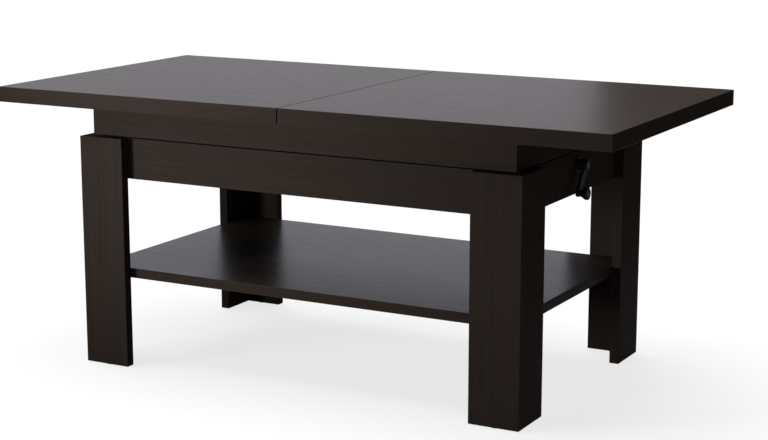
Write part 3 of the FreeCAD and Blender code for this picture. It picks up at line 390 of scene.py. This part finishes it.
finishes.update(
    bright_steel=bare_metal(
        "bright_steel", shade(203, 204, 206), shade(172, 171, 164), 0.33,
        (900.0, 900.0, 900.0), 0.15, 0.00003),
    dark_steel=bare_metal(
        "dark_steel", shade(84, 84, 87), shade(52, 51, 52), 0.42,
        (600.0, 60.0, 60.0), 0.2, 0.00004),
    cast_alloy=bare_metal(
        "cast_alloy", shade(197, 198, 200), shade(160, 160, 162), 0.45,
        (700.0, 500.0, 700.0), 0.35, 0.00008),
    bronze=bare_metal(
        "bronze", shade(191, 150, 92), shade(140, 100, 58), 0.36,
        (1800.0, 60.0, 60.0), 0.3, 0.00005),
    beech=beech_wood("beech"),
)
for name, slot in slot_of.items():
    if slot in finishes:
        paint(name, finishes[slot])
print("finishes:", ", ".join(sorted(finishes)))

# %% [markdown]
# ## Surfaces from numpy
# A turned or threaded part is a surface over two numbers: how far round, and how far along. Working out
# the whole grid at once with numpy is quick and exact, and no loop walks over the vertices. The grid
# closes on itself round the axis, and each end is closed by one face.

# %% Helper that makes a mesh from a grid
SMOOTH_BELOW = math.radians(32)


def spun_mesh(name, grids, tube=False):
    """A mesh from points of shape (copies, rings, places round, 3): quads from ring to ring, all round.
    A tube's last ring meets its first again, and every other shape has a face over each end."""
    copies, rings, around, _ = grids.shape
    first = (np.arange(copies) * rings * around)[:, None, None]
    step = np.arange(rings if tube else rings - 1)
    near = first + (step * around)[None, :, None]
    far = first + ((step + 1) % rings * around)[None, :, None]
    here = np.arange(around)[None, None, :]
    beyond = (here + 1) % around
    quads = np.stack([near + here, near + beyond, far + beyond, far + here], axis=-1)
    faces = quads.reshape(-1, 4).tolist()
    if not tube:
        turn = np.arange(around)
        faces += (first[:, 0] + turn[::-1]).tolist()
        faces += (first[:, 0] + (rings - 1) * around + turn).tolist()
    mesh = bpy.data.meshes.new(name)
    mesh.from_pydata(grids.reshape(-1, 3).tolist(), [], faces)
    mesh.shade_smooth()
    mesh.set_sharp_from_angle(angle=SMOOTH_BELOW)
    mesh.update()
    return mesh


def show(name, mesh, material, body, replaced):
    """Puts a finished mesh in the scene in place of a frame piece, on the body that it moves with."""
    piece = bpy.data.objects.new(name, mesh)
    piece.data.materials.append(material)
    scene.collection.objects.link(piece)
    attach(piece, body)
    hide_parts(replaced)
    print(name, len(mesh.vertices), "points, rides on", body)


# %% [markdown]
# ## The spindle
# The crank turns a screw that pulls the feet of the scissor together. It has a coarse trapezoidal thread
# with a left-hand lead, so that turning clockwise raises the top. A thread could be made with a Screw
# modifier, but one formula gives it exactly: the radius drops by the thread's depth wherever the way
# along, in leads, plus the way round, in turns, falls in the groove.

# %% Threaded spindle
THREAD_LEAD = 0.008
THREAD_STARTS = 2
THREAD_DEPTH = 0.0018
THREAD_CREST = 0.36
THREAD_FLANK = 0.14
TAIL_JOURNAL = 0.014
CRANK_JOURNAL = 0.072
RUN_OUT = 0.004
TIP_CHAMFER = 0.14


def trapezoid(phase):
    """A thread's section over one pitch: 1 on the crest, 0 in the root, and straight flanks between."""
    from_crest = np.abs((phase + 0.5) % 1.0 - 0.5)
    return np.clip((THREAD_CREST / 2 + THREAD_FLANK - from_crest) / THREAD_FLANK, 0.0, 1.0)


def threaded_rod(low, high, around=56, steps_per_lead=28):
    """A rod along X: its radius falls to the root between the threads, which fade out at both ends."""
    radius = (high.z - low.z) / 2
    middle_y = (low.y + high.y) / 2
    middle_z = (low.z + high.z) / 2
    chamfer = radius * TIP_CHAMFER
    start = low.x + TAIL_JOURNAL
    end = high.x - CRANK_JOURNAL
    cut = np.linspace(start, end, int((end - start) / THREAD_LEAD * steps_per_lead))
    along = np.concatenate([[low.x, low.x + chamfer], cut, [high.x - chamfer, high.x]])
    turn = np.linspace(0.0, 1.0, around, endpoint=False)
    x, t = np.meshgrid(along, turn, indexing="ij")
    pitches = THREAD_STARTS * (x / THREAD_LEAD + t)
    fade = np.clip(np.minimum(x - start, end - x) / RUN_OUT, 0.0, 1.0)
    depth = THREAD_DEPTH * fade * (1.0 - trapezoid(pitches))
    tip = np.isclose(x, low.x) | np.isclose(x, high.x)
    r = radius - depth - np.where(tip, chamfer, 0.0)
    angle = 2 * math.pi * t
    return np.stack([x, middle_y + r * np.cos(angle), middle_z + r * np.sin(angle)], axis=-1)


spindle_mesh = spun_mesh("threaded_spindle", threaded_rod(*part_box("spindle"))[None])
show("threaded_spindle", spindle_mesh, finishes["dark_steel"], "crank", "spindle")

# %% [markdown]
# ## The crank knob
# The knob flares from a slim root to a wide rim, with a sunk end for the head of the pin that it spins
# on. It is a lathe form: one outline of radius against height, carried round the axis. The outline is
# a few arcs and one smooth flare, sampled closely enough that no facet shows.

# %% Turned knob
ROOT_ROUND = 0.0007
RIM_ROUND = 0.0022
WELL_ROUND = 0.0006
STRAIGHT_SHARE = 0.55


def eased(share):
    """A smooth step from 0 to 1 with no slope at either end."""
    return share * share * (3.0 - 2.0 * share)


def knob_outline(length, root, rim, bore, well, sink):
    """Radius and height from the bore's inner mouth, up the flare, over the rim and down the sunk end."""
    quarter = np.linspace(0.0, math.pi / 2, 9)
    rise = 1.0 - np.cos(quarter)
    swing = np.sin(quarter)
    flare = np.linspace(0.0, 1.0, 24)
    widening = STRAIGHT_SHARE * flare + (1.0 - STRAIGHT_SHARE) * eased(flare)
    flare_start = 2 * ROOT_ROUND
    flare_long = length - 2 * RIM_ROUND - flare_start
    parts = [
        (np.array([bore]), np.array([0.0])),
        (root - ROOT_ROUND + ROOT_ROUND * swing, ROOT_ROUND * rise),
        (root + (rim - root) * widening, flare_start + flare_long * flare),
        (rim - RIM_ROUND * rise, length - RIM_ROUND + RIM_ROUND * swing),
        (well + WELL_ROUND - WELL_ROUND * swing, length - WELL_ROUND * rise),
        (np.array([well, bore]), np.array([length - sink, length - sink])),
    ]
    return np.concatenate([r for r, _ in parts]), np.concatenate([h for _, h in parts])


def lathe_along_x(outline, start, middle_y, middle_z, around=72):
    """Carries an outline of radius and height round an axis along X."""
    radius, height = outline
    angle = np.linspace(0.0, 2 * math.pi, around, endpoint=False)
    r, a = np.meshgrid(radius, angle, indexing="ij")
    x = np.broadcast_to(start + height[:, None], r.shape)
    return np.stack([x, middle_y + r * np.cos(a), middle_z + r * np.sin(a)], axis=-1)


knob_low, knob_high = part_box("crank_knob")
pin_low, pin_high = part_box("knob_pin")
knob_middle = (knob_low + knob_high) / 2
KNOB_ROOT = 0.0058
KNOB_BORE = 0.0031
KNOB_SINK = 0.003
RUNNING_GAP = 0.0003
knob_lines = knob_outline(
    length=knob_high.x - knob_low.x, root=KNOB_ROOT, rim=(knob_high.y - knob_low.y) / 2,
    bore=KNOB_BORE, well=(pin_high.z - pin_low.z) / 2 + RUNNING_GAP, sink=KNOB_SINK)
knob_grid = lathe_along_x(knob_lines, knob_low.x, knob_middle.y, knob_middle.z)
knob_mesh = spun_mesh("turned_knob", knob_grid[None], tube=True)
show("turned_knob", knob_mesh, finishes["black_plastic"], "knob", "crank_knob")

# %% [markdown]
# ## Screws
# Sixty-odd zinc-plated pan-head screws hold the table together, and their heads show from inside and from
# below. In the frame each is a plain turned blank. Here each gets a domed head with a cross recess,
# pressed in as a smooth dent whose depth depends on where a point of the head lies. The frame keeps the
# screws of one kind in one mesh, so they are first told apart: corners that share a triangle take the
# lowest label among them, over and over, until every screw has one label.

# %% Find each screw of a node
RIM_SHARE = 0.98
PAST_HEAD = 1.5


def loose_solids(node):
    """The corners of each separate solid in a frame piece: the lowest label spreads over its triangles."""
    mesh = nodes[node].data
    flat = np.empty(len(mesh.vertices) * 3)
    mesh.vertices.foreach_get("co", flat)
    corners, shared = np.unique(flat.reshape(-1, 3).round(6), axis=0, return_inverse=True)
    loops = np.empty(len(mesh.loops), dtype=int)
    mesh.loops.foreach_get("vertex_index", loops)
    triangles = shared.reshape(-1)[loops].reshape(-1, 3)
    labels = np.arange(len(corners))
    settled = False
    while not settled:
        spread = labels.copy()
        np.minimum.at(spread, triangles.ravel(), np.repeat(labels[triangles].min(axis=1), 3))
        settled = np.array_equal(spread, labels)
        labels = spread
    return [corners[labels == label] for label in np.unique(labels)]


def screw_stance(corners):
    """Where a screw's head starts, which way it points, its length, and the radii of its head and shank."""
    low = corners.min(axis=0)
    high = corners.max(axis=0)
    axis = int(np.argmax(high - low))
    middle = (low + high) / 2
    spread = np.linalg.norm(np.delete(corners - middle, axis, axis=1), axis=1)
    head_radius = spread.max()
    head_at = corners[spread > head_radius * RIM_SHARE][:, axis]
    points_up = head_at.mean() < middle[axis]
    start = middle.copy()
    start[axis] = low[axis] if points_up else high[axis]
    along = np.zeros(3)
    along[axis] = 1.0 if points_up else -1.0
    head_height = np.ptp(head_at)
    is_shank = np.abs(corners[:, axis] - start[axis]) > head_height * PAST_HEAD
    return start, along, high[axis] - low[axis], head_radius, head_height, spread[is_shank].max()


print(len(loose_solids("leg_screws")), "leg screws told apart")

# %% Screws with domed, recessed heads
RECESS_HALF_WIDTH = 0.00062
RECESS_REACH = 0.0021
RECESS_DEPTH = 0.0010
RECESS_SOFT = 0.00028
GOLDEN_TURN = 2.39996
HEAD_RINGS = 16
SMALLEST_RING = 0.006
DOME_DROP = 0.45
TIP_SHARE = 0.03


def cross_recess(x, y):
    """Depth of the driver's cross at a point of the head: two crossed slots with sloping walls."""
    wide = np.abs(np.stack([x, y]))
    long = wide[::-1]
    slot = np.clip((RECESS_HALF_WIDTH - wide) / RECESS_SOFT + 0.5, 0, 1)
    slot = slot * np.clip((RECESS_REACH - long) / RECESS_SOFT / 2, 0, 1)
    return RECESS_DEPTH * slot.max(axis=0)


def screw_grid(corners, order, around=44):
    """One screw as rings: out over the domed head, down its side, along the shank and in to the tip."""
    start, along, length, head, height, shank = screw_stance(corners)
    out = np.linspace(SMALLEST_RING, 1.0, HEAD_RINGS)
    dome = DOME_DROP * height * out ** 4
    radius = np.concatenate([head * out, [head, shank, shank, shank * TIP_SHARE]])
    depth = np.concatenate([dome, [height, height, length - shank, length]])
    angle = np.linspace(0.0, 2 * math.pi, around, endpoint=False)
    r, a = np.meshgrid(radius, angle, indexing="ij")
    x = r * np.cos(a + order * GOLDEN_TURN)
    y = r * np.sin(a + order * GOLDEN_TURN)
    on_head = (np.arange(len(radius)) < HEAD_RINGS)[:, None]
    down = depth[:, None] + np.where(on_head, cross_recess(x, y), 0.0)
    across = np.roll(np.abs(along), 1)
    other = np.cross(along, across)
    turned_across = np.cos(a)[..., None] * across + np.sin(a)[..., None] * other
    return start + r[..., None] * turned_across + down[..., None] * along


screw_bodies = {
    "leg_screws": "base", "base_screws": "base", "frame_screws": "upper_frame",
    "left_runner_screws": "left_top", "right_runner_screws": "right_top"}
for node, body in screw_bodies.items():
    screws = enumerate(loose_solids(node))
    grids = np.stack([screw_grid(corners, order) for order, corners in screws])
    mesh = spun_mesh(f"recessed_{node}", grids)
    show(f"recessed_{node}", mesh, finishes["bright_steel"], body, node)

# %% [markdown]
# ## The floor and the background
# The photograph shows the table on white, with a pale soft shadow on the floor. Flooding the scene with
# light until the floor clips would wash out the laminate. Instead the floor is part white paint and part
# a glow that only the camera and reflections see, so it comes out white and still keeps the shadow. The
# light that bounces off it onto the table meets a greyer paint, so the sides away from the lamps stay
# dark. The background is white to the camera, and a little darker and cooler in reflections, which gives
# the top and the shelf their grey sheen.

# %% Floor


def seen_directly(tree):
    """1 for rays from the camera or from a reflection or glass, 0 for the light that falls on the table."""
    rays = tree.nodes.new("ShaderNodeLightPath")
    highest = rays.outputs["Is Camera Ray"]
    for name in ("Is Glossy Ray", "Is Transmission Ray"):
        either = {0: highest, 1: rays.outputs[name]}
        highest = add_node(tree, "ShaderNodeMath", either, operation="MAXIMUM").outputs[0]
    return highest


def stage_panel(name, corners):
    """A flat four-cornered piece of the studio."""
    mesh = bpy.data.meshes.new(name)
    mesh.from_pydata(corners, [], [(0, 1, 2, 3)])
    panel = bpy.data.objects.new(name, mesh)
    scene.collection.objects.link(panel)
    return panel


def level_corners(left, right, front, back, height):
    """The corners of a panel that lies level."""
    return [(left, front, height), (right, front, height), (right, back, height), (left, back, height)]


FLOOR_HALF = 30.0
FLOOR_GLOW = 0.77
SEEN_PAINT = (0.92, 0.92, 0.92, 1.0)
BOUNCING_PAINT = (0.17, 0.17, 0.17, 1.0)
floor = stage_panel("floor", level_corners(-FLOOR_HALF, FLOOR_HALF, -FLOOR_HALF, FLOOR_HALF, 0))
floor_paint = bpy.data.materials.new("floor_paint")
floor_paint.use_nodes = True
floor_tree = floor_paint.node_tree
floor_tree.nodes.clear()
seen = seen_directly(floor_tree)
by_ray = {0: seen, 6: BOUNCING_PAINT, 7: SEEN_PAINT}
colour = add_node(floor_tree, "ShaderNodeMix", by_ray, data_type="RGBA").outputs[2]
matt = add_node(floor_tree, "ShaderNodeBsdfDiffuse", {"Color": colour}).outputs[0]
glow = add_node(floor_tree, "ShaderNodeEmission", {"Strength": 1.0}).outputs[0]
share = add_node(floor_tree, "ShaderNodeMath", {0: seen, 1: FLOOR_GLOW}, operation="MULTIPLY").outputs[0]
mixed = add_node(floor_tree, "ShaderNodeMixShader", {0: share, 1: matt, 2: glow}).outputs[0]
add_node(floor_tree, "ShaderNodeOutputMaterial", {"Surface": mixed})
floor.data.materials.append(floor_paint)
print("floor", 2 * FLOOR_HALF, "m wide")

# %% White background
AMBIENT = 0.1
WHITE = (1.0, 1.0, 1.0, 1.0)
REFLECTED = (0.88, 0.88, 0.98, 1.0)
world = bpy.data.worlds.new("studio")
scene.world = world
world.use_nodes = True
world_tree = world.node_tree
world_tree.nodes.clear()
is_camera = world_tree.nodes.new("ShaderNodeLightPath").outputs["Is Camera Ray"]
by_ray = {0: is_camera, 6: REFLECTED, 7: WHITE}
colour = add_node(world_tree, "ShaderNodeMix", by_ray, data_type="RGBA").outputs[2]
looked_at = add_node(world_tree, "ShaderNodeBackground", {"Color": colour, "Strength": 1.0}).outputs[0]
lighting = add_node(world_tree, "ShaderNodeBackground", {"Color": WHITE, "Strength": AMBIENT}).outputs[0]
by_purpose = {0: seen_directly(world_tree), 1: lighting, 2: looked_at}
mixed = add_node(world_tree, "ShaderNodeMixShader", by_purpose).outputs[0]
add_node(world_tree, "ShaderNodeOutputWorld", {"Surface": mixed})
print("white to the camera,", AMBIENT, "of that as light")

# %% [markdown]
# ## The light
# One small softbox stands at the front left, about as high as the legs, and looks at the level of the
# top. So it reaches under the edge of the top, and hardly lights the ends of the legs from above. It
# models the front faces, brighter at their left end, and throws the legs' shadows to the right. A grid,
# here the lamp's spread, weakens it away from its aim, so the legs darken towards their feet. A wide sky
# light from above lays the pale shadow under the table: a sun lamp with a large disc, because that lights
# the whole floor alike. Three dark cards, seen only in reflections, darken the right-hand ends of the top
# and the shelf and the edges that face right, as black flags do in a photographer's studio.

# %% Lamps
SOFTBOX_PLACE = (-1.2, -1.45, 0.45)
SOFTBOX_AIM = (0.0, -0.25, 0.5)
SOFTBOX_POWER = 2.9
SOFTBOX_WIDTH = 0.35
SOFTBOX_SPREAD = math.radians(56)
SKY_PLACE = (-0.8, 0.2, 3.0)
SKY_AIM = (0.0, 0.0, 0.0)
SKY_POWER = 3.55
SKY_DISC = math.radians(56)


def hang_lamp(name, kind, place, aim, power):
    """A lamp at a place, looking at a point."""
    light = bpy.data.lights.new(name, kind)
    light.energy = power
    holder = bpy.data.objects.new(name, light)
    holder.location = place
    holder.rotation_euler = (Vector(place) - Vector(aim)).to_track_quat("Z", "Y").to_euler()
    scene.collection.objects.link(holder)
    return holder


front_left = hang_lamp("front_left_lamp", "AREA", SOFTBOX_PLACE, SOFTBOX_AIM, SOFTBOX_POWER)
front_left.data.size = SOFTBOX_WIDTH
front_left.data.spread = SOFTBOX_SPREAD
sky_light = hang_lamp("sky_light", "SUN", SKY_PLACE, SKY_AIM, SKY_POWER)
sky_light.data.angle = SKY_DISC
sky_light.visible_glossy = False
print("lamps:", front_left.name, sky_light.name)

# %% Dark cards
CARD_RIGHT = 2.6
CARD_BACK = 3.0
CARD_TALL = 2.0
STANDING_LEFT = -0.73
LYING_LEFT = 0.66
LYING_FRONT = 0.2
LYING_HEIGHT = 0.001
LOW_LEFT = 0.22
LOW_RIGHT = 0.42
LOW_BACK = 0.45
LOW_TALL = 0.45


def upright_corners(left, right, back, tall):
    """The corners of a panel that stands on the floor and faces the front."""
    return [(left, back, 0), (right, back, 0), (right, back, tall), (left, back, tall)]


card_paint = bpy.data.materials.new("card_paint")
card_paint.use_nodes = True
card_paint.node_tree.nodes["Principled BSDF"].inputs["Base Color"].default_value = shade(40, 39, 40)
card_corners = {
    "standing_card": upright_corners(STANDING_LEFT, CARD_RIGHT, CARD_BACK, CARD_TALL),
    "lying_card": level_corners(LYING_LEFT, CARD_RIGHT, LYING_FRONT, CARD_BACK, LYING_HEIGHT),
    "low_card": upright_corners(LOW_LEFT, LOW_RIGHT, LOW_BACK, LOW_TALL),
}
for name, corners in card_corners.items():
    card = stage_panel(name, corners)
    card.data.materials.append(card_paint)
    card.visible_camera = False
    card.visible_diffuse = False
    card.visible_shadow = False
print("cards:", ", ".join(card_corners))
